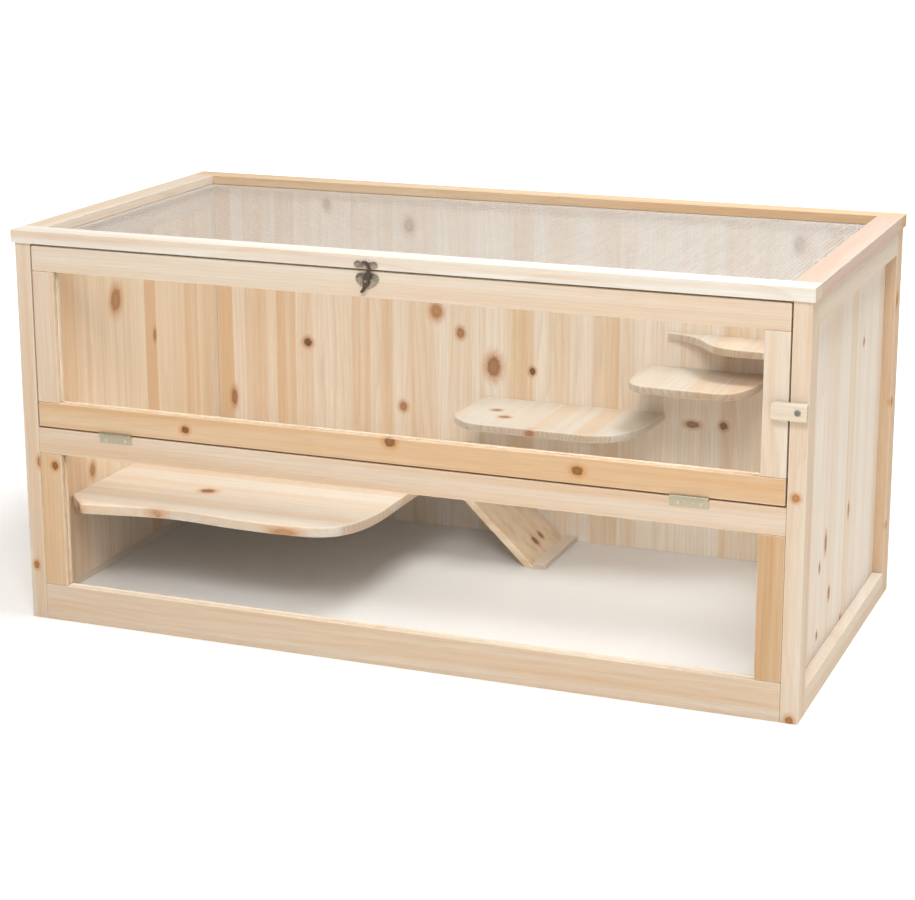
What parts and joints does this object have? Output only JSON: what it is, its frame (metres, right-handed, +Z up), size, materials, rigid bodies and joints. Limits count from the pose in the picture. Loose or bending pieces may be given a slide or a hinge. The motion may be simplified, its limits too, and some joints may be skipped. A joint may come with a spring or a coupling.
{
  "type": "hamster cage",
  "caption": "Wooden hamster cage with framed plank walls, clear front panes, a fold-down front door, a hinged mesh lid, stepped shelves and a ramp.",
  "frame": {"origin": "on the ground, at the middle of the cage's outline seen from above", "axes": "+X along the front towards the turn button's end, +Y from the front door to the back wall, +Z up"},
  "size_m": [1.15, 0.5928, 0.576],
  "materials": {
    "pale_fir": "bare planed softwood, pale cream",
    "warm_fir": "bare planed softwood, warm orange",
    "plank_fir": "bare edge-glued softwood strips with knots",
    "coated_board": "satin white coated board",
    "galvanised_wire": "dull galvanised wire",
    "zinc_hardware": "zinc plated, satin",
    "aged_bronze": "aged dark bronze plating",
    "clear_acrylic": "clear polished acrylic"
  },
  "bodies": {
    "cabinet": {"back_panel": "plank_fir", "back_rail_bottom": "pale_fir", "back_rail_top": "pale_fir", "door_hinge_fixed_leaf_left": "zinc_hardware", "door_hinge_fixed_leaf_right": "zinc_hardware", "floor_batten_back": "warm_fir", "floor_batten_front": "warm_fir", "floor_batten_left": "warm_fir", "floor_batten_middle": "warm_fir", "floor_batten_right": "warm_fir", "floor_sheet": "coated_board", "front_rail_bottom": "pale_fir", "front_rail_middle": "pale_fir", "lid_hinge_fixed_leaf_left": "zinc_hardware", "lid_hinge_fixed_leaf_right": "zinc_hardware", "ramp_board": "warm_fir", "ramp_stop": "pale_fir", "shelf_a": "plank_fir", "shelf_a_cleat_back": "warm_fir", "shelf_a_cleat_left": "warm_fir", "shelf_b": "plank_fir", "shelf_b_cleat": "warm_fir", "shelf_c": "plank_fir", "shelf_c_cleat": "warm_fir", "shelf_d": "plank_fir", "shelf_d_cleat": "warm_fir", "side_panel_left": "warm_fir", "side_panel_right": "plank_fir", "side_rail_bottom_left": "pale_fir", "side_rail_bottom_right": "pale_fir", "side_rail_top_left": "pale_fir", "side_rail_top_right": "pale_fir", "side_stile_back_left": "pale_fir", "side_stile_back_right": "pale_fir", "side_stile_front_left": "pale_fir", "side_stile_front_right": "pale_fir", "turn_button_screw": "zinc_hardware", "window_pane": "clear_acrylic", "window_stile_left": "warm_fir", "window_stile_right": "warm_fir"},
    "door": {"door_hinge_moving_leaf_left": "zinc_hardware", "door_hinge_moving_leaf_right": "zinc_hardware", "door_pane": "clear_acrylic", "door_rail_bottom": "warm_fir", "door_rail_top": "pale_fir", "door_stile_left": "pale_fir", "door_stile_right": "pale_fir", "latch_plate": "aged_bronze"},
    "lid": {"lid_hinge_moving_leaf_left": "zinc_hardware", "lid_hinge_moving_leaf_right": "zinc_hardware", "lid_mesh": "galvanised_wire", "lid_rail_back": "warm_fir", "lid_rail_front": "pale_fir", "lid_rail_left": "pale_fir", "lid_rail_right": "pale_fir", "latch_catch": "aged_bronze"},
    "latch_hook": {"latch_hook": "aged_bronze"},
    "turn_button": {"turn_button": "pale_fir"}
  },
  "joints": [
    {"name": "door_fold", "type": "hinge", "parent": "cabinet", "child": "door", "pos_m": [0, -0.28695, 0.29075], "axis": [1, 0, 0], "range_deg": [0, 170]},
    {"name": "lid_lift", "type": "hinge", "parent": "cabinet", "child": "lid", "pos_m": [0, 0.29415, 0.55735], "axis": [-1, 0, 0], "range_deg": [0, 100]},
    {"name": "button_turn", "type": "hinge", "parent": "cabinet", "child": "turn_button", "pos_m": [0.559, -0.28985, 0.4175], "axis": [0, 1, 0], "range_deg": [-90, 90]},
    {"name": "latch_swing", "type": "hinge", "parent": "door", "child": "latch_hook", "pos_m": [-0.028, -0.29115, 0.542], "axis": [0, 1, 0], "range_deg": [0, 95]}
  ]
}
